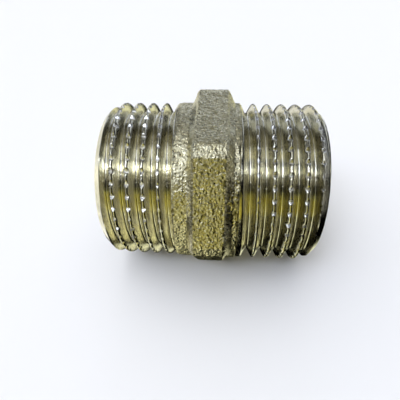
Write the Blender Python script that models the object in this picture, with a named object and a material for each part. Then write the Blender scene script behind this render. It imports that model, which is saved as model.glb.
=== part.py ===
"""Hex nipple: a short brass fitting with a G 1/2 male thread at each end and a hexagon between.

Frame: metres, +X along the bore, +Z up, origin on the bore axis at the middle of the length.
The hexagon has one flat facing +Z and one facing -Z. Angles run about +X, from +Y towards +Z.

The real fitting is one piece of brass. It is modelled as its three zones, which meet face to
face: a turned thread on the -X side, the forged middle, and a turned thread on the +X side.
"""

import math

import bmesh
import bpy

MM = 0.001
TURN = 2 * math.pi

# Whole fitting
HALF_LENGTH = 13.67 * MM
BORE_RADIUS = 7.5 * MM
BORE_CHAMFER = 0.5 * MM

# Thread: ISO 228 G 1/2, 14 turns to the inch, right-handed at both ends
PITCH = 25.4 * MM / 14
CREST_RADIUS = 20.955 * MM / 2
ROOT_RADIUS = 18.631 * MM / 2
HALF_LAND = 0.083  # half the width of a crest or root land, as a share of the pitch
THREAD_SEGMENTS = 48
END_RIM_RADIUS = 9.3 * MM
END_CHAMFER_SLOPE = 0.95  # rise of the lead-in chamfer's radius for each unit of length

# Where one crest of each thread crosses the +Y side of the fitting
LEFT_CREST_X = -6.556 * MM
RIGHT_CREST_X = 4.854 * MM

# The groove runs out beside the shoulder: full depth beyond FULL, none inside GONE, along |x|
LEFT_GROOVE_FULL = 4.95 * MM
LEFT_GROOVE_GONE = 4.15 * MM
RIGHT_GROOVE_FULL = 4.2 * MM
RIGHT_GROOVE_GONE = 3.6 * MM

# Forged middle: a round shoulder on each side of the hexagon
LEFT_SHOULDER_X = -4.3 * MM
RIGHT_SHOULDER_X = 3.5 * MM
SHOULDER_RADIUS = 10.6 * MM
SHOULDER_EDGE = 0.15 * MM
LEFT_FOOT_X = -2.55 * MM
RIGHT_FOOT_X = 2.8 * MM
LEFT_HEX_X = -2.0 * MM
RIGHT_HEX_X = 2.1 * MM
HEX_ACROSS_FLATS = 22.0 * MM
HEX_CORNER_RADIUS = 12.25 * MM  # the corners are cut round about the bore axis
HEX_EDGE_ROUND = 0.25 * MM
HEX_SIDES = 6
FLAT_STEPS = 6  # spans along one flat
CORNER_STEPS = 4  # spans round one corner

SHARP_ANGLE = math.radians(35)


def clear_scene():
    for obj in list(bpy.data.objects):
        bpy.data.objects.remove(obj, do_unlink=True)


def brass(name, colour, roughness):
    """A brass finish."""
    material = bpy.data.materials.new(name)
    material.use_nodes = True
    shader = material.node_tree.nodes["Principled BSDF"]
    shader.inputs["Base Color"].default_value = (*colour, 1.0)
    shader.inputs["Metallic"].default_value = 1.0
    shader.inputs["Roughness"].default_value = roughness
    return material


def clamp(value, low, high):
    return max(low, min(high, value))


def around(x, angle, radius):
    """The point at an angle about the bore axis."""
    return (x, radius * math.cos(angle), radius * math.sin(angle))


def finish_object(name, bm, material):
    """Turn a closed bmesh into a smooth-shaded object in the scene."""
    bmesh.ops.remove_doubles(bm, verts=bm.verts, dist=0.0001 * MM)
    bmesh.ops.recalc_face_normals(bm, faces=bm.faces)
    mesh = bpy.data.meshes.new(name)
    bm.to_mesh(mesh)
    bm.free()
    mesh.materials.append(material)
    mesh.shade_smooth()
    mesh.set_sharp_from_angle(angle=SHARP_ANGLE)
    obj = bpy.data.objects.new(name, mesh)
    bpy.context.scene.collection.objects.link(obj)
    return obj


def skin(bm, first, second):
    """Join two closed rings of equal count with a band of quads."""
    count = len(first)
    for i in range(count):
        j = (i + 1) % count
        bm.faces.new((first[i], first[j], second[j], second[i]))


# --- threads ---------------------------------------------------------------------------------


def thread_radius(x, angle, crest_x, groove_full, groove_gone):
    """Radius of the threaded surface: straight flanks between a crest land and a root land."""
    turns = (x - crest_x) / PITCH - angle / TURN
    from_crest = abs(turns - round(turns))
    flank = 0.5 - 2 * HALF_LAND
    depth = clamp((from_crest - HALF_LAND) / flank, 0, 1)
    root_x = x + (math.floor(turns) + 0.5 - turns) * PITCH
    run_out = clamp((abs(root_x) - groove_gone) / (groove_full - groove_gone), 0, 1)
    radius = CREST_RADIUS - (CREST_RADIUS - ROOT_RADIUS) * depth * run_out
    lead_in = END_RIM_RADIUS + END_CHAMFER_SLOPE * (HALF_LENGTH - abs(x))
    return min(radius, lead_in)


def thread_columns(low_x, high_x, crest_x):
    """Stations at angle 0 of the helical edges that pass between the two planes."""
    lands = (-HALF_LAND, HALF_LAND, 0.5 - HALF_LAND, 0.5 + HALF_LAND)
    first = math.floor((low_x - crest_x) / PITCH) - 1
    last = math.ceil((high_x - crest_x) / PITCH)
    turns = range(first, last + 1)
    return [crest_x + (turn + land) * PITCH for turn in turns for land in lands], len(lands)


def build_thread(name, low_x, high_x, crest_x, groove, material):
    """A threaded tube between two planes, with its end plane at the fitting's own end chamfered."""
    bm = bmesh.new()
    columns, per_turn = thread_columns(low_x, high_x, crest_x)
    angles = [TURN * i / THREAD_SEGMENTS for i in range(THREAD_SEGMENTS)]

    rows = []
    for angle in angles:
        row = []
        for station in columns:
            x = clamp(station + PITCH * angle / TURN, low_x, high_x)
            radius = thread_radius(x, angle, crest_x, *groove)
            row.append(bm.verts.new(around(x, angle, radius)))
        rows.append(row)

    # One turn on, each helical edge has moved along by one pitch's worth of columns.
    last = len(columns) - 1
    for i, row in enumerate(rows):
        shift = per_turn if i == THREAD_SEGMENTS - 1 else 0
        beside = rows[(i + 1) % THREAD_SEGMENTS]
        for k in range(last):
            a = beside[min(k + shift, last)]
            b = beside[min(k + 1 + shift, last)]
            corners = [row[k], row[k + 1], b, a]
            if a is b:
                corners = [row[k], row[k + 1], a]
            bm.faces.new(corners)

    def bore_ring(x, radius):
        return [bm.verts.new(around(x, angle, radius)) for angle in angles]

    low_chamfer = BORE_CHAMFER if low_x == -HALF_LENGTH else 0.0
    high_chamfer = BORE_CHAMFER if high_x == HALF_LENGTH else 0.0
    low_mouth = bore_ring(low_x, BORE_RADIUS + low_chamfer)
    high_mouth = bore_ring(high_x, BORE_RADIUS + high_chamfer)
    low_bore = bore_ring(low_x + low_chamfer, BORE_RADIUS)
    high_bore = bore_ring(high_x - high_chamfer, BORE_RADIUS)
    skin(bm, [row[0] for row in rows], low_mouth)
    skin(bm, low_mouth, low_bore)
    skin(bm, low_bore, high_bore)
    skin(bm, high_bore, high_mouth)
    skin(bm, high_mouth, [row[last] for row in rows])
    return finish_object(name, bm, material)


# --- forged middle ---------------------------------------------------------------------------


def hexagon_outline(inset):
    """(angle, radius) round a hexagon with its corners cut round, drawn in from its size by inset."""
    apothem = HEX_ACROSS_FLATS / 2 - inset
    corner_radius = HEX_CORNER_RADIUS - inset
    side = TURN / HEX_SIDES
    flat_turn = math.acos(apothem / corner_radius)  # from a flat's middle to its end
    half_flat = apothem * math.tan(flat_turn)
    half_corner = side / 2 - flat_turn
    outline = []
    for corner in range(HEX_SIDES):
        corner_angle = corner * side
        for step in range(CORNER_STEPS + 1):
            turn = half_corner * (2 * step / CORNER_STEPS - 1)
            outline.append((corner_angle + turn, corner_radius))
        for step in range(1, FLAT_STEPS):
            across = half_flat * (2 * step / FLAT_STEPS - 1)
            angle = corner_angle + side / 2 + math.atan2(across, apothem)
            outline.append((angle, math.hypot(across, apothem)))
    return outline


def build_middle(name, material):
    """Hexagon with sloping sides down to a round shoulder on each side, bored through."""
    bm = bmesh.new()
    full = hexagon_outline(0.0)
    eased = hexagon_outline(HEX_EDGE_ROUND)
    angles = [angle for angle, _ in full]

    def circle(x, radius):
        return [bm.verts.new(around(x, angle, radius)) for angle in angles]

    def hexagon(x, outline):
        return [bm.verts.new(around(x, angle, radius)) for angle, radius in outline]

    rings = [
        circle(LEFT_SHOULDER_X, BORE_RADIUS),
        circle(LEFT_SHOULDER_X, SHOULDER_RADIUS - SHOULDER_EDGE),
        circle(LEFT_SHOULDER_X + SHOULDER_EDGE, SHOULDER_RADIUS),
        circle(LEFT_FOOT_X, SHOULDER_RADIUS),
        hexagon(LEFT_HEX_X, eased),
        hexagon(LEFT_HEX_X + HEX_EDGE_ROUND, full),
        hexagon(RIGHT_HEX_X - HEX_EDGE_ROUND, full),
        hexagon(RIGHT_HEX_X, eased),
        circle(RIGHT_FOOT_X, SHOULDER_RADIUS),
        circle(RIGHT_SHOULDER_X - SHOULDER_EDGE, SHOULDER_RADIUS),
        circle(RIGHT_SHOULDER_X, SHOULDER_RADIUS - SHOULDER_EDGE),
        circle(RIGHT_SHOULDER_X, BORE_RADIUS),
    ]
    for ring, after in zip(rings, rings[1:] + rings[:1]):
        skin(bm, ring, after)
    return finish_object(name, bm, material)


clear_scene()
forged = brass("brass_forged", (0.36, 0.33, 0.19), 0.45)
turned = brass("brass_turned", (0.50, 0.47, 0.30), 0.25)
build_thread(
    "thread_left",
    -HALF_LENGTH,
    LEFT_SHOULDER_X,
    LEFT_CREST_X,
    (LEFT_GROOVE_FULL, LEFT_GROOVE_GONE),
    turned,
)
build_middle("hexagon_middle", forged)
build_thread(
    "thread_right",
    RIGHT_SHOULDER_X,
    HALF_LENGTH,
    RIGHT_CREST_X,
    (RIGHT_GROOVE_FULL, RIGHT_GROOVE_GONE),
    turned,
)
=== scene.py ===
"""Looks of the hex nipple: fine threads with knurled crests, a rough forged middle, studio light."""

import math

import bmesh
import bpy
import numpy as np
from mathutils import Matrix, Vector, noise


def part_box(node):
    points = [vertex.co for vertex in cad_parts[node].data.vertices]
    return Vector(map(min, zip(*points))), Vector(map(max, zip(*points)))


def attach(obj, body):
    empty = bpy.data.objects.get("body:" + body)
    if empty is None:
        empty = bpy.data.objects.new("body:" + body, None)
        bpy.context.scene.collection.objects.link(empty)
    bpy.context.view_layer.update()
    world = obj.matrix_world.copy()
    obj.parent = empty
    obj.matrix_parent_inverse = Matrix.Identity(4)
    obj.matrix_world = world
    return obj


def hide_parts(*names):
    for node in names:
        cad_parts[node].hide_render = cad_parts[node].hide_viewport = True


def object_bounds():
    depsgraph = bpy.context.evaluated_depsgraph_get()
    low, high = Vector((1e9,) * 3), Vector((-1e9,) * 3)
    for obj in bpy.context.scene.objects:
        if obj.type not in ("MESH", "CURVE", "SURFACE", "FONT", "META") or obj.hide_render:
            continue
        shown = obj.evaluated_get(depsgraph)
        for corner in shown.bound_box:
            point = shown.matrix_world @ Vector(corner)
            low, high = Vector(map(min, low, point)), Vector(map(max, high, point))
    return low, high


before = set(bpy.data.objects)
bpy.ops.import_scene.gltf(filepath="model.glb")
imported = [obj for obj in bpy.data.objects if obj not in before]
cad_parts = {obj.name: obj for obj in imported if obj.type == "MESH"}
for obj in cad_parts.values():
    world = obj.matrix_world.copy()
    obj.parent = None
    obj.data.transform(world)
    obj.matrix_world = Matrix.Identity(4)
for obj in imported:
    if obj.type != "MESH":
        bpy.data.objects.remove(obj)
cad_low, cad_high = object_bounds()

MM = 0.001
TURN = 2 * math.pi

# --- the frame's own sizes ---------------------------------------------------------------------

left_low, left_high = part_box("thread_left")
right_low, right_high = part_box("thread_right")
middle_low, middle_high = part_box("hexagon_middle")

LEFT_END_X, LEFT_SHOULDER_X = left_low.x, left_high.x
RIGHT_SHOULDER_X, RIGHT_END_X = right_low.x, right_high.x
HALF_LENGTH = RIGHT_END_X
CREST_RADIUS = right_high.z
APOTHEM = middle_high.z
HEX_CORNER_RADIUS = middle_high.y
FLOOR_Z = cad_low.z

# --- driving dimensions --------------------------------------------------------------------------

# Thread: G 1/2, 14 turns to the inch, right-handed, with the standard form's rounded crests
PITCH = 25.4 * MM / 14
FLANK_ANGLE = math.radians(27.5)  # each side of the radial direction
TIP_ROUND = 0.137329 * PITCH  # the standard's radius of crests and roots
LEFT_CREST_X = -6.556 * MM  # where a crest crosses the +Y side
RIGHT_CREST_X = 4.854 * MM
LEFT_GROOVE = (4.95 * MM, 4.15 * MM)  # |x| beyond which the groove is full, and within which none
RIGHT_GROOVE = (4.2 * MM, 3.6 * MM)
END_RIM_RADIUS = 9.3 * MM
END_CHAMFER_SLOPE = 0.95
END_EDGE_ROUND = 0.12 * MM

# Knurl: notches pressed straight across the crests, hardest near the ends
NOTCHES = 44
NOTCH_DEPTH = 0.34 * MM
NOTCH_HALF = 0.22  # half of a notch's width, as a share of the spacing
NOTCH_LAND_STEPS = 5  # spans of mesh between one notch and the next
NOTCH_UNEVEN = (0.6, 1.1)  # least and greatest depth of a single notch, as a share
NOTCH_START = (4.5 * MM, 5.2 * MM)  # the knurl begins between these |x|
NOTCH_FULL = (5.2 * MM, 8.5 * MM)  # and gets deeper between these
NOTCH_LEAST = 0.2  # share of the depth where it begins
NOTCH_DRAWS = 4096
LEFT_SEED, RIGHT_SEED = 3, 8
RAGGED_LEFT = 0.03 * MM  # how far the metal beside the notches is torn up and down
RAGGED_RIGHT = 0.04 * MM
RAGGED_GRAIN = 0.30 * MM
RAGGED_START = (5.2 * MM, 8.0 * MM)  # the tearing grows between these |x|
RAGGED_REACH = (0.1 * MM, 0.45 * MM)  # below the crest: full down to the first, none past the second
PRESSED_LEAST = 0.02 * MM  # a notch at least this deep shows crushed metal
PRESSED_MARGIN = 0.06 * MM  # how far below a notch, the tearing aside, a point still counts as in it

# Bore
BORE_RADIUS = 7.5 * MM
BORE_CHAMFER = 0.5 * MM
OUTSIDE_BORE = BORE_RADIUS + MM  # anything further out isn't the bore or its chamfer

# Forged middle
SHOULDER_RADIUS = 10.6 * MM
SHOULDER_EDGE = 0.15 * MM
LEFT_FOOT_X = -2.55 * MM
RIGHT_FOOT_X = 2.8 * MM
LEFT_HEX_X = -2.0 * MM
RIGHT_HEX_X = 2.1 * MM
HEX_CORNER_EASE = 0.07 * MM  # softens the line where a flat meets its rounded corner
HEX_EDGE_ROUND = 0.25 * MM
HEX_SIDES = 6
SKIN_DEPTH = 0.04 * MM
SKIN_GRAIN = 0.34 * MM
SKIN_RIDGE = 2.4  # how steeply the skin falls away on each side of its ridges
SKIN_SWELL = 0.9  # height of the longer waves that carry the ridges
SKIN_SWELL_SCALE = 0.55  # their fineness beside that of the ridges
SKIN_SINK = 1.7  # in skin depths, so that the highest ridges stay within the CAD faces
SKIN_START = 0.1 * MM  # the skin grows from nothing over this much beside the end planes
RAGGED_EDGE = 0.16 * MM  # how far the turned face has cut unevenly into the left shoulder

# Mesh density
COLUMNS_PER_PITCH = 24
MIDDLE_AROUND = 660
MIDDLE_STEP = 0.11 * MM
SHARP_ANGLE = math.radians(38)
WELD = 0.0001 * MM  # points nearer than this become one

# Turned brass. Scales are in details to a millimetre, and noise runs from 0 to 1
MOST_NOISE = (0.3, 0.7)  # most of a noise lies between these
LATHE_LINES = 4.5
LATHE_LINE_DRIFT = 0.12  # how fast the lines change from the bottom to the top
LATHE_DEPTH = 0.018 * MM
PIT_SCALE = 5.0
PIT_DEPTH = 0.01 * MM
PIT_NOISE = (0.25, 0.42)  # at the bottom of a pit and at its rim
PIT_START = (8.2, 8.8)  # distance from the axis in millimetres, so that the bore has none
WAVE_SCALE = 0.9
WAVE_DEPTH = 0.03 * MM
TURNED_TONE_SCALE = 0.6
TURNED_TONE_NOISE = (0.35, 0.65)  # all deep below the first, all pale above the second
TURNED_ROUGHNESS = (0.15, 0.22)
TURNED_STRETCH = 0.9
TURNED_STRETCH_TURN = 0.25  # of a full turn, from along the tool's lines to across them
TURNED_DEEP = (0.74, 0.70, 0.50, 1.0)
TURNED_PALE = (0.80, 0.77, 0.61, 1.0)
PRESSED = (0.94, 0.92, 0.84, 1.0)  # freshly crushed metal
PRESSED_ROUGHER = 0.08

# Forged brass, with the same scales
DIMPLE_SCALE = 3.6
DIMPLE_DEPTH = 0.055 * MM
DIMPLE_SOFTNESS = 0.3
GRAIN_SCALE = 4.6
GRAIN_DEPTH = 0.045 * MM
FINE_SCALE = 19.0
FINE_DEPTH = 0.012 * MM
FORGED_PATCH_SCALE = 3.2
FORGED_ROUGHNESS = (0.22, 0.36)
# The skin's pits blend towards the first colour below and its ridges towards the second: painted shade in
# the recesses.
FORGED_PIT_SHADE = (0.58, 0.51, 0.26, 1.0)
FORGED_PALE = (0.80, 0.75, 0.50, 1.0)

# Floor and backdrop
FLOOR_RADIUS = 2.0
FLOOR_SEGMENTS = 96
FLOOR_COLOUR = (0.86, 0.86, 0.86, 1.0)
FLOOR_ROUGHNESS = 0.9
BACKDROP = (1.0, 1.0, 1.0, 1.0)
PAPER_LIGHT = 2.4
PAPER_LIGHT_SPREAD = math.radians(100)
PAPER_LIGHT_TURN = (math.radians(-12), math.radians(-18), 0)

# Soft boxes that the brass reflects. A box's place is its climb round the bore axis in degrees, from
# 0 at the front horizon over 90 overhead to 180 at the back horizon, or down over -90 straight below
# to -180, and its reach along the axis, from -1 at the far left to 1 at the far right. A climb past
# 180 or a reach past 1, either way, means no edge on that side.
SOFT_CLIMB = 4.0  # half the width of a box's soft edges
SOFT_REACH = 0.05
COOL = (0.92, 1.0, 1.25)
PLAIN = (1.0, 1.0, 0.97)
WARM = (1.0, 1.0, 0.7)
OLIVE = (1.0, 1.0, 0.25)
GOLDEN = (1.25, 1.0, 0.1)
STUDIO = {
    # from climb, to climb, from reach, to reach, colour, strength
    "key": (57, 68, -0.5, -0.2, COOL, 9.5),
    "key_far": (60, 74, -2.0, -0.6, COOL, 2.0),
    "key_upper": (69, 80, -0.6, -0.25, COOL, 2.0),
    "key_inner": (77, 100, -0.25, -0.12, COOL, 2.8),
    "shoulder": (44, 64, -0.2, -0.1, PLAIN, 2.6),
    "shoulder_back": (98, 122, -0.2, -0.1, PLAIN, 1.3),
    "overhead": (80, 96, -0.12, 0.05, PLAIN, 2.3),
    "overhead_back": (98, 140, -0.12, 0.2, PLAIN, 0.25),
    "back": (145, 180, -0.12, 0.05, COOL, 1.7),
    "back_left": (150, 188, -2.0, -0.5, COOL, 0.9),
    "back_right": (142, 170, 0.3, 2.0, COOL, 0.85),
    "under_back": (-190, -150, -2.0, -0.12, PLAIN, 0.9),
    "under_left": (-155, -90, -2.0, -0.5, PLAIN, 1.35),
    "under_right": (-190, -100, 0.15, 0.5, WARM, 0.95),
    "front_low": (-62, 0, -0.6, -0.3, PLAIN, 0.5),
    "front_left": (-10, 57, -2.0, -0.35, PLAIN, 0.34),
    "front_inner": (-10, 26, -0.3, -0.12, OLIVE, 0.95),
    "under": (-95, -8, -0.36, -0.2, WARM, 1.9),
    "front": (-8, 22, -0.12, 0.05, GOLDEN, 0.6),
    "right_end": (-90, 200, 0.94, 2.0, PLAIN, 0.45),
}

# Camera, which looks at the fitting from above its -Y side
CAMERA_ELEVATION = math.radians(44.6)
CAMERA_DISTANCE = 48.84 * MM
CAMERA_SIDE = 1.38 * MM
CAMERA_YAW = math.radians(4.35)
CAMERA_PITCH = math.radians(-5.75)
CAMERA_ROLL = math.radians(-1.56)
CAMERA_SENSOR_WIDTH = 36
CAMERA_LENS = 30.7
CAMERA_SHIFT = (0.014, 0.037)
CAMERA_CLIP = (MM, 10.0)


# --- mesh helpers --------------------------------------------------------------------------------


def smooth_object(name, points, faces, slot, *nodes):
    """A closed, smooth-shaded piece that stands for CAD nodes and rides on the fitting."""
    mesh = bpy.data.meshes.new(name)
    mesh.from_pydata(points, [], faces)
    bm = bmesh.new()
    bm.from_mesh(mesh)
    bmesh.ops.remove_doubles(bm, verts=bm.verts, dist=WELD)
    bmesh.ops.recalc_face_normals(bm, faces=bm.faces)
    bm.to_mesh(mesh)
    bm.free()
    mesh.shade_smooth()
    mesh.set_sharp_from_angle(angle=SHARP_ANGLE)
    piece = bpy.data.objects.new(name, mesh)
    bpy.context.scene.collection.objects.link(piece)
    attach(piece, "root")
    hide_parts(*nodes)
    return piece


def polar(piece):
    """x, angle and radius of each of a piece's points."""
    flat = np.empty(3 * len(piece.data.vertices))
    piece.data.vertices.foreach_get("co", flat)
    x, y, z = flat.reshape(-1, 3).T
    return x, np.arctan2(z, y), np.hypot(y, z)


def paint(piece, name, values):
    """Keep a number for each point of a piece, for its material to read."""
    attribute = piece.data.attributes.new(name, "FLOAT", "POINT")
    attribute.data.foreach_set("value", values.astype(np.float32))


def around(x, angle, radius):
    """Points about the bore axis, as an array with x, y, z last."""
    x, angle, radius = np.broadcast_arrays(x, angle, radius)
    return np.stack([x, radius * np.cos(angle), radius * np.sin(angle)], axis=-1)


def smoothstep(value, low, high):
    """0 below low, 1 above high, smooth between, for an array."""
    t = np.clip((value - low) / (high - low), 0, 1)
    return t * t * (3 - 2 * t)


# --- threads -------------------------------------------------------------------------------------


def drop_from_crest(offset):
    """How far the rounded thread form lies below its crest, offset pitches from the crest (0 to 0.5)."""
    run = offset * PITCH
    bend = TIP_ROUND * math.cos(FLANK_ANGLE)
    bend_drop = TIP_ROUND * (1 - math.sin(FLANK_ANGLE))
    slope = 1 / math.tan(FLANK_ANGLE)
    crest = TIP_ROUND - np.sqrt(np.maximum(TIP_ROUND**2 - run**2, 0))
    flank = bend_drop + (run - bend) * slope
    half = PITCH / 2
    depth = 2 * bend_drop + (half - 2 * bend) * slope
    root = depth - TIP_ROUND + np.sqrt(np.maximum(TIP_ROUND**2 - (half - run) ** 2, 0))
    return np.where(run < bend, crest, np.where(run < half - bend, flank, root))


def notch_angles():
    """Angles round one turn, gathered so that each notch has a crisp bottom and crisp edges."""
    inside = [-NOTCH_HALF, -NOTCH_HALF / 2, 0.0, NOTCH_HALF / 2, NOTCH_HALF]
    span = (1 - 2 * NOTCH_HALF) / NOTCH_LAND_STEPS
    land = [NOTCH_HALF + span * step for step in range(1, NOTCH_LAND_STEPS)]
    shares = np.array(inside + land)
    return np.concatenate([(notch + shares) * TURN / NOTCHES for notch in range(NOTCHES)])


def notched_radius(x, angle, crest_x, seed):
    """Radius that the knurl's notches leave at x and angle, both arrays: the crest radius between."""
    turns = (x - crest_x) / PITCH - angle / TURN
    place = angle / TURN * NOTCHES
    share = np.abs(place - np.round(place))
    number = np.round(place).astype(int) + NOTCHES * np.round(turns).astype(int)
    shares = np.random.RandomState(seed).uniform(*NOTCH_UNEVEN, NOTCH_DRAWS)
    toward_end = smoothstep(np.abs(x), *NOTCH_FULL)
    strength = smoothstep(np.abs(x), *NOTCH_START) * (NOTCH_LEAST + (1 - NOTCH_LEAST) * toward_end)
    depth = NOTCH_DEPTH * shares[number % NOTCH_DRAWS] * strength
    return CREST_RADIUS - depth * np.clip(1 - share / NOTCH_HALF, 0, 1)


def threaded_radius(x, angle, crest_x, groove, seed):
    """Radius of the turned and knurled surface at x and angle, both arrays."""
    full, gone = groove
    turns = (x - crest_x) / PITCH - angle / TURN
    offset = np.abs(turns - np.round(turns))
    root_x = x + (np.floor(turns) + 0.5 - turns) * PITCH
    run_out = smoothstep(np.abs(root_x), gone, full)
    radius = CREST_RADIUS - drop_from_crest(offset) * run_out
    radius = np.minimum(radius, notched_radius(x, angle, crest_x, seed))

    from_end = HALF_LENGTH - np.abs(x)
    lead_in = END_RIM_RADIUS + END_CHAMFER_SLOPE * from_end
    curl = np.clip(1 - from_end / END_EDGE_ROUND, 0, 1)
    lead_in = lead_in - END_EDGE_ROUND * (1 - np.sqrt(1 - curl**2))
    return np.minimum(radius, lead_in)


def torn(x, angle, radius, depth):
    """Lower the crests a little and unevenly, as the knurl tears them."""
    full, gone = RAGGED_REACH
    near_crest = smoothstep(radius, CREST_RADIUS - gone, CREST_RADIUS - full)
    near_crest = near_crest * smoothstep(np.abs(x), *RAGGED_START)
    points = around(x, angle, radius) / RAGGED_GRAIN
    drop = np.zeros(radius.shape)
    for i in zip(*np.nonzero(near_crest)):
        drop[i] = 0.5 + noise.noise(Vector(points[i]))
    return radius - depth * near_crest * drop


def bore_rings(low_x, high_x):
    """(x, radius) of the bore's rings between two planes, chamfered where it meets an end face."""
    low_cut = BORE_CHAMFER if low_x == LEFT_END_X else 0.0
    high_cut = BORE_CHAMFER if high_x == RIGHT_END_X else 0.0
    rings = [(low_x, BORE_RADIUS + low_cut)]
    if low_cut:
        rings.append((low_x + low_cut, BORE_RADIUS))
    if high_cut:
        rings.append((high_x - high_cut, BORE_RADIUS))
    rings.append((high_x, BORE_RADIUS + high_cut))
    return rings


def paint_pressed(piece, crest_x, seed, ragged):
    """Mark the points of a thread that lie in its notches, where the knurl has crushed the metal."""
    x, angle, radius = polar(piece)
    notched = notched_radius(x, angle, crest_x, seed)
    in_notch = notched < CREST_RADIUS - PRESSED_LEAST
    on_surface = radius > notched - ragged / 2 - PRESSED_MARGIN
    paint(piece, "pressed", in_notch & on_surface & (radius > OUTSIDE_BORE))


def build_thread(name, node, low_x, high_x, crest_x, groove, seed, ragged):
    """A threaded tube between two planes, chamfered where it ends the fitting."""
    angles = notch_angles()
    first = math.floor((low_x - crest_x) / PITCH) - 1
    last = math.ceil((high_x - crest_x) / PITCH)
    columns = crest_x + PITCH * np.arange(first, last, 1 / COLUMNS_PER_PITCH)
    x = np.clip(columns[None, :] + PITCH * angles[:, None] / TURN, low_x, high_x)
    radius = threaded_radius(x, angles[:, None], crest_x, groove, seed)
    radius = torn(x, np.broadcast_to(angles[:, None], x.shape), radius, ragged)
    rows, count = x.shape
    points = around(x, angles[:, None], radius).reshape(-1, 3)

    index = np.arange(rows * count).reshape(rows, count)
    beside = np.roll(index, -1, axis=0)
    # One turn on, each helical edge has moved along by one pitch's worth of columns.
    moved = np.minimum(np.arange(count) + COLUMNS_PER_PITCH, count - 1)
    beside[-1] = index[0, moved]
    quads = np.stack([index[:, :-1], index[:, 1:], beside[:, 1:], beside[:, :-1]], axis=-1)
    faces = [list(dict.fromkeys(quad)) for quad in quads.reshape(-1, 4).tolist()]
    faces = [face for face in faces if len(face) > 2]

    loops = [index[:, 0]]
    for ring_x, ring_radius in bore_rings(low_x, high_x):
        loops.append(len(points) + np.arange(rows))
        points = np.concatenate([points, around(ring_x, angles, ring_radius)])
    loops.append(index[:, -1])
    for loop, after in zip(loops, loops[1:]):
        band = np.stack([loop, after, np.roll(after, -1), np.roll(loop, -1)], axis=-1)
        faces += band.tolist()
    piece = smooth_object(name, points.tolist(), faces, "turned_brass", node)
    paint_pressed(piece, crest_x, seed, ragged)
    return piece


# --- forged middle -------------------------------------------------------------------------------


def hexagon_radius(angle, inset):
    """Radius of the hexagon with its corners cut round, at each angle, drawn in by inset."""
    side = TURN / HEX_SIDES
    turn = np.abs((angle + side / 2) % side - side / 2)  # from the nearest corner
    flat = (APOTHEM - inset) / np.cos(side / 2 - turn)
    corner = HEX_CORNER_RADIUS - inset
    near = np.clip(1 - np.abs(flat - corner) / HEX_CORNER_EASE, 0, 1)
    return np.minimum(flat, corner) - near**2 * HEX_CORNER_EASE / 4


def forged_profile():
    """(x, share, inset) along the middle: share runs from 0, the round shoulder, to 1, the hexagon."""
    edge = HEX_EDGE_ROUND
    return [
        (LEFT_FOOT_X, 0.0, edge),
        (LEFT_HEX_X, 1.0, edge),
        (LEFT_HEX_X + edge, 1.0, 0.0),
        (RIGHT_HEX_X - edge, 1.0, 0.0),
        (RIGHT_HEX_X, 1.0, edge),
        (RIGHT_FOOT_X, 0.0, edge),
    ]


def middle_stations(angles):
    """(x, radius) of the rings that shape the middle, from the bore at its left to the bore at its right."""
    bore = np.full_like(angles, BORE_RADIUS)
    shoulder = np.full_like(angles, SHOULDER_RADIUS)
    eased = np.full_like(angles, SHOULDER_RADIUS - SHOULDER_EDGE)
    edge_points = around(0.0, angles, SHOULDER_RADIUS) / SKIN_GRAIN
    torn_edge = RAGGED_EDGE * np.array([0.5 + noise.noise(Vector(point)) for point in edge_points])
    left_side = [
        (LEFT_SHOULDER_X, bore),
        (LEFT_SHOULDER_X, eased),
        (LEFT_SHOULDER_X + SHOULDER_EDGE + torn_edge, shoulder),
    ]
    hexagon = []
    for x, share, inset in forged_profile():
        hexagon.append((x, SHOULDER_RADIUS * (1 - share) + hexagon_radius(angles, inset) * share))
    right_side = [
        (RIGHT_SHOULDER_X - SHOULDER_EDGE, shoulder),
        (RIGHT_SHOULDER_X, eased),
        (RIGHT_SHOULDER_X, bore),
    ]
    return left_side + hexagon + right_side


def build_middle(name, node):
    """The shoulders and the hexagon as one fine grid of rings, closed through the bore."""
    angles = np.arange(MIDDLE_AROUND) * TURN / MIDDLE_AROUND
    stations = middle_stations(angles)
    rings = []
    for (x, radius), (next_x, next_radius) in zip(stations, stations[1:]):
        span = float(np.max(np.hypot(next_x - x, next_radius - radius)))
        steps = max(1, round(span / MIDDLE_STEP))
        for step in range(steps):
            share = step / steps
            ring_radius = radius * (1 - share) + next_radius * share
            rings.append(around(x * (1 - share) + next_x * share, angles, ring_radius))
    rings.append(around(stations[-1][0], angles, stations[-1][1]))
    grid, height = roughen(np.stack(rings))
    points = grid.reshape(-1, 3)
    index = np.arange(len(points)).reshape(len(rings), -1)
    beside = np.roll(index, -1, axis=1)
    after = np.roll(index, -1, axis=0)
    after_beside = np.roll(beside, -1, axis=0)
    faces = np.stack([index, beside, after_beside, after], axis=-1).reshape(-1, 4).tolist()
    piece = smooth_object(name, points.tolist(), faces, "forged_brass", node)
    # The forged material darkens the skin's low points by this height: painted shade.
    paint(piece, "high", np.clip(0.5 + 0.5 * height.reshape(-1), 0, 1))
    return piece


def crinkle(place):
    """Height of crinkled skin, mostly between -1 in its pits and 1.4 on its sharp ridges."""
    swell = SKIN_SWELL * noise.noise(place * SKIN_SWELL_SCALE)
    return 1.0 - SKIN_RIDGE * abs(noise.noise(place)) + swell


def roughen(grid):
    """Press the forged skin in, less at its ridges. The bore and the two end planes stay true."""
    radius = np.hypot(grid[..., 1], grid[..., 2])
    outward = grid / radius[..., None]
    outward[..., 0] = 0
    inside = np.minimum(grid[..., 0] - LEFT_SHOULDER_X, RIGHT_SHOULDER_X - grid[..., 0])
    free = smoothstep(inside, 0, SKIN_START) * (radius > OUTSIDE_BORE)
    height = np.zeros(radius.shape)
    for i in np.ndindex(radius.shape):
        if free[i] > 0:
            height[i] = crinkle(Vector(grid[i]) / SKIN_GRAIN)
    rough = grid + outward * (free * SKIN_DEPTH * (height - SKIN_SINK))[..., None]
    return rough, height * free


# --- materials -----------------------------------------------------------------------------------


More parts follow.
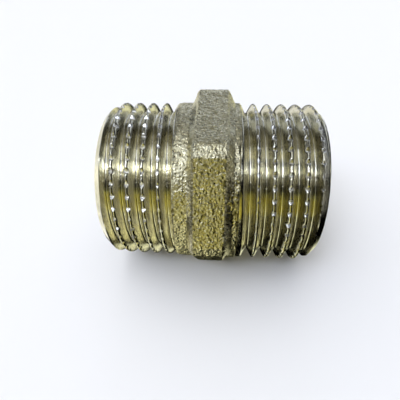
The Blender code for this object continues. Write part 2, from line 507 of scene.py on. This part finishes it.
def metal(name):
    """A metal's material, its node tree and its shader."""
    material = bpy.data.materials.new(name)
    material.use_nodes = True
    tree = material.node_tree
    shader = tree.nodes["Principled BSDF"]
    shader.inputs["Metallic"].default_value = 1.0
    return material, tree, shader


def feed(tree, socket, value):
    """Put a number, a vector or another node's output into a socket."""
    if isinstance(value, bpy.types.NodeSocket):
        tree.links.new(value, socket)
    else:
        socket.default_value = value


def calculate(tree, operation, first, second=0.0):
    """A sum, product or other result of one or two values."""
    node = tree.nodes.new("ShaderNodeMath")
    node.operation = operation
    feed(tree, node.inputs[0], first)
    feed(tree, node.inputs[1], second)
    return node.outputs[0]


def vector_of(tree, x, y, z):
    """A vector from three values."""
    node = tree.nodes.new("ShaderNodeCombineXYZ")
    for socket, value in zip(node.inputs, (x, y, z)):
        feed(tree, socket, value)
    return node.outputs[0]


def noise_of(tree, vector, scale, detail=2.0, roughness=0.5):
    """Soft noise from 0 to 1."""
    node = tree.nodes.new("ShaderNodeTexNoise")
    feed(tree, node.inputs["Vector"], vector)
    node.inputs["Scale"].default_value = scale
    node.inputs["Detail"].default_value = detail
    node.inputs["Roughness"].default_value = roughness
    return node.outputs["Fac"]


def spread(tree, value, low, high, to_low, to_high):
    """Rescale a value from one range to another, and hold it there."""
    node = tree.nodes.new("ShaderNodeMapRange")
    for socket, number in zip(node.inputs, (value, low, high, to_low, to_high)):
        feed(tree, socket, number)
    return node.outputs[0]


def blend_colour(tree, share, first, second):
    """The first colour where share is 0, the second where it is 1."""
    node = tree.nodes.new("ShaderNodeMix")
    node.data_type = "RGBA"
    factor, first_colour, second_colour = node.inputs[0], node.inputs[6], node.inputs[7]
    feed(tree, factor, share)
    feed(tree, first_colour, first)
    feed(tree, second_colour, second)
    return node.outputs[2]


def bumps(tree, height, depth, under=None):
    """A normal from a height of 0 to 1, depth metres deep, on top of another bump's normal."""
    node = tree.nodes.new("ShaderNodeBump")
    node.inputs["Distance"].default_value = depth
    feed(tree, node.inputs["Height"], height)
    if under is not None:
        feed(tree, node.inputs["Normal"], under)
    return node.outputs[0]


def place_on_part(tree):
    """Sockets in millimetres: the whole place, x, the distance from the bore axis, and z."""
    coordinates = tree.nodes.new("ShaderNodeTexCoord").outputs["Object"]
    scaled = tree.nodes.new("ShaderNodeVectorMath")
    scaled.operation = "SCALE"
    feed(tree, scaled.inputs[0], coordinates)
    scaled.inputs["Scale"].default_value = 1 / MM
    place = scaled.outputs[0]
    split = tree.nodes.new("ShaderNodeSeparateXYZ")
    feed(tree, split.inputs[0], place)
    x, y, z = split.outputs
    y_square = calculate(tree, "MULTIPLY", y, y)
    z_square = calculate(tree, "MULTIPLY", z, z)
    return place, x, calculate(tree, "SQRT", calculate(tree, "ADD", y_square, z_square)), z


def painted(tree, name):
    """The number that paint() kept under a name."""
    node = tree.nodes.new("ShaderNodeAttribute")
    node.attribute_name = name
    return node.outputs["Fac"]


def turned_brass():
    """Brass cut on a lathe: bright, with fine tool lines round the axis and a few pits."""
    material, tree, shader = metal("turned_brass")
    place, x, radius, height = place_on_part(tree)
    lines_at = vector_of(
        tree,
        calculate(tree, "MULTIPLY", x, LATHE_LINES),
        calculate(tree, "MULTIPLY", radius, LATHE_LINES),
        calculate(tree, "MULTIPLY", height, LATHE_LINE_DRIFT),
    )
    lines = noise_of(tree, lines_at, 1.0, detail=3.0, roughness=0.6)
    waves = noise_of(tree, place, WAVE_SCALE, detail=1.0)
    pits = spread(tree, noise_of(tree, place, PIT_SCALE), *PIT_NOISE, 0.0, 1.0)
    outside = spread(tree, radius, *PIT_START, 0.0, 1.0)
    wavy = bumps(tree, waves, WAVE_DEPTH)
    lined = bumps(tree, lines, LATHE_DEPTH, wavy)
    pitted = bumps(tree, calculate(tree, "MULTIPLY", pits, outside), PIT_DEPTH, lined)
    feed(tree, shader.inputs["Normal"], pitted)
    smooth = spread(tree, waves, *MOST_NOISE, *TURNED_ROUGHNESS)
    pressed = painted(tree, "pressed")
    crushed = calculate(tree, "MULTIPLY", pressed, PRESSED_ROUGHER)
    feed(tree, shader.inputs["Roughness"], calculate(tree, "ADD", smooth, crushed))
    # The lathe's fine lines spread a reflection across them and leave it sharp along them.
    tangent = tree.nodes.new("ShaderNodeTangent")
    tangent.direction_type = "RADIAL"
    tangent.axis = "X"
    feed(tree, shader.inputs["Tangent"], tangent.outputs[0])
    shader.inputs["Anisotropic"].default_value = TURNED_STRETCH
    shader.inputs["Anisotropic Rotation"].default_value = TURNED_STRETCH_TURN
    tones = noise_of(tree, place, TURNED_TONE_SCALE, detail=3.0)
    tone = spread(tree, tones, *TURNED_TONE_NOISE, 0.0, 1.0)
    worn = blend_colour(tree, tone, TURNED_DEEP, TURNED_PALE)
    feed(tree, shader.inputs["Base Color"], blend_colour(tree, pressed, worn, PRESSED))
    return material


def forged_brass():
    """Brass as it leaves the die and the shot blast: crinkled, sparkling, and darker in its pits, which is
    painted shade.
    """
    material, tree, shader = metal("forged_brass")
    place = place_on_part(tree)[0]
    patches = noise_of(tree, place, FORGED_PATCH_SCALE)
    grain = noise_of(tree, place, GRAIN_SCALE, detail=3.0, roughness=0.6)
    fine = noise_of(tree, place, FINE_SCALE)
    cells = tree.nodes.new("ShaderNodeTexVoronoi")
    cells.feature = "SMOOTH_F1"
    feed(tree, cells.inputs["Vector"], place)
    cells.inputs["Scale"].default_value = DIMPLE_SCALE
    cells.inputs["Smoothness"].default_value = DIMPLE_SOFTNESS
    dimpled = bumps(tree, cells.outputs["Distance"], DIMPLE_DEPTH)
    rough = bumps(tree, grain, GRAIN_DEPTH, dimpled)
    rougher = bumps(tree, fine, FINE_DEPTH, rough)
    feed(tree, shader.inputs["Normal"], rougher)
    feed(tree, shader.inputs["Roughness"], spread(tree, patches, *MOST_NOISE, *FORGED_ROUGHNESS))
    # The skin's low points get the darker colour: painted shade in its pits.
    high = painted(tree, "high")
    feed(tree, shader.inputs["Base Color"], blend_colour(tree, high, FORGED_PIT_SHADE, FORGED_PALE))
    return material


# --- floor ---------------------------------------------------------------------------------------


def paper():
    """Plain white paper."""
    material = bpy.data.materials.new("floor")
    material.use_nodes = True
    shader = material.node_tree.nodes["Principled BSDF"]
    shader.inputs["Base Color"].default_value = FLOOR_COLOUR
    shader.inputs["Roughness"].default_value = FLOOR_ROUGHNESS
    shader.inputs["Specular IOR Level"].default_value = 0.0
    return material


def build_floor():
    """A wide round sheet of paper, which the brass doesn't reflect: it reflects the studio there."""
    mesh = bpy.data.meshes.new("floor")
    bm = bmesh.new()
    bmesh.ops.create_circle(bm, cap_ends=True, radius=FLOOR_RADIUS, segments=FLOOR_SEGMENTS)
    bm.to_mesh(mesh)
    bm.free()
    mesh.materials.append(paper())
    floor = bpy.data.objects.new("floor", mesh)
    floor.location.z = FLOOR_Z
    floor.visible_glossy = False
    bpy.context.scene.collection.objects.link(floor)


def build_paper_light():
    """A wide soft sun for the paper alone. Reflections leave it out, and brass has nothing but those."""
    data = bpy.data.lights.new("paper_light", "SUN")
    data.energy = PAPER_LIGHT
    data.angle = PAPER_LIGHT_SPREAD
    light = bpy.data.objects.new("paper_light", data)
    light.rotation_euler = PAPER_LIGHT_TURN
    light.visible_glossy = False
    bpy.context.scene.collection.objects.link(light)


# --- studio --------------------------------------------------------------------------------------


def soft_step(tree, value, low, high):
    """0 below low, 1 above high, smooth between. With low above high it falls instead."""
    node = tree.nodes.new("ShaderNodeMapRange")
    node.interpolation_type = "SMOOTHSTEP"
    rising = low < high
    ends = (low, high, 0.0, 1.0) if rising else (high, low, 1.0, 0.0)
    for socket, number in zip(node.inputs, (value, *ends)):
        feed(tree, socket, number)
    return node.outputs[0]


def soft_box(tree, climb, reach, from_climb, to_climb, from_reach, to_reach, colour, strength):
    """The light that one soft box sends from each direction, as a colour."""
    sides = [
        soft_step(tree, climb, from_climb - SOFT_CLIMB, from_climb + SOFT_CLIMB),
        soft_step(tree, climb, to_climb + SOFT_CLIMB, to_climb - SOFT_CLIMB),
        soft_step(tree, reach, from_reach - SOFT_REACH, from_reach + SOFT_REACH),
        soft_step(tree, reach, to_reach + SOFT_REACH, to_reach - SOFT_REACH),
    ]
    share = sides[0]
    for side in sides[1:]:
        share = calculate(tree, "MULTIPLY", share, side)
    lit = tree.nodes.new("ShaderNodeVectorMath")
    lit.operation = "SCALE"
    lit.inputs[0].default_value = [strength * part for part in colour]
    feed(tree, lit.inputs["Scale"], share)
    return lit.outputs[0]


def add_colours(tree, first, second):
    """The sum of two colours."""
    node = tree.nodes.new("ShaderNodeVectorMath")
    node.operation = "ADD"
    feed(tree, node.inputs[0], first)
    feed(tree, node.inputs[1], second)
    return node.outputs[0]


def build_studio():
    """A world that shows soft boxes to the brass and a plain backdrop to the camera."""
    world = bpy.data.worlds.new("studio")
    bpy.context.scene.world = world
    world.use_nodes = True
    tree = world.node_tree
    split = tree.nodes.new("ShaderNodeSeparateXYZ")
    feed(tree, split.inputs[0], tree.nodes.new("ShaderNodeTexCoord").outputs["Generated"])
    reach, back, up = split.outputs
    climb = calculate(tree, "ARCTAN2", up, calculate(tree, "MULTIPLY", back, -1.0))
    climb = calculate(tree, "MULTIPLY", climb, math.degrees(1))
    boxes = [soft_box(tree, climb, reach, *box) for box in STUDIO.values()]
    total = boxes[0]
    for box in boxes[1:]:
        total = add_colours(tree, total, box)

    studio = tree.nodes["Background"]
    feed(tree, studio.inputs["Color"], total)
    studio.inputs["Strength"].default_value = 1.0
    backdrop = tree.nodes.new("ShaderNodeBackground")
    backdrop.inputs["Color"].default_value = BACKDROP
    seen = tree.nodes.new("ShaderNodeMixShader")
    feed(tree, seen.inputs[0], tree.nodes.new("ShaderNodeLightPath").outputs["Is Camera Ray"])
    feed(tree, seen.inputs[1], studio.outputs[0])
    feed(tree, seen.inputs[2], backdrop.outputs[0])
    feed(tree, tree.nodes["World Output"].inputs["Surface"], seen.outputs[0])


# --- camera --------------------------------------------------------------------------------------


def build_camera():
    """The photo's view: above the -Y side, a little to the right, turned and leaning slightly."""
    data = bpy.data.cameras.new("camera")
    data.sensor_width = CAMERA_SENSOR_WIDTH
    data.lens = CAMERA_LENS
    data.shift_x, data.shift_y = CAMERA_SHIFT
    data.clip_start, data.clip_end = CAMERA_CLIP
    camera = bpy.data.objects.new("camera", data)
    bpy.context.scene.collection.objects.link(camera)
    bpy.context.scene.camera = camera
    elevate = Matrix.Rotation(-CAMERA_ELEVATION, 4, "X")
    stand_back = Matrix.Translation(Vector((CAMERA_SIDE, -CAMERA_DISTANCE, 0)))
    yaw = Matrix.Rotation(CAMERA_YAW, 4, "Z")
    pitch = Matrix.Rotation(CAMERA_PITCH, 4, "X")
    roll = Matrix.Rotation(CAMERA_ROLL, 4, "Y")
    look_ahead = Matrix.Rotation(math.radians(90), 4, "X")  # a camera's own view runs down its -Z
    camera.matrix_world = elevate @ stand_back @ yaw @ pitch @ roll @ look_ahead


# --- the whole scene -----------------------------------------------------------------------------

left = build_thread(
    "left_thread",
    "thread_left",
    LEFT_END_X,
    LEFT_SHOULDER_X,
    LEFT_CREST_X,
    LEFT_GROOVE,
    LEFT_SEED,
    RAGGED_LEFT,
)
right = build_thread(
    "right_thread",
    "thread_right",
    RIGHT_SHOULDER_X,
    RIGHT_END_X,
    RIGHT_CREST_X,
    RIGHT_GROOVE,
    RIGHT_SEED,
    RAGGED_RIGHT,
)
middle = build_middle("forged_middle", "hexagon_middle")
turned = turned_brass()
left.data.materials.append(turned)
right.data.materials.append(turned)
middle.data.materials.append(forged_brass())

build_floor()
build_paper_light()
build_studio()
build_camera()
bpy.context.scene.view_settings.view_transform = "Standard"
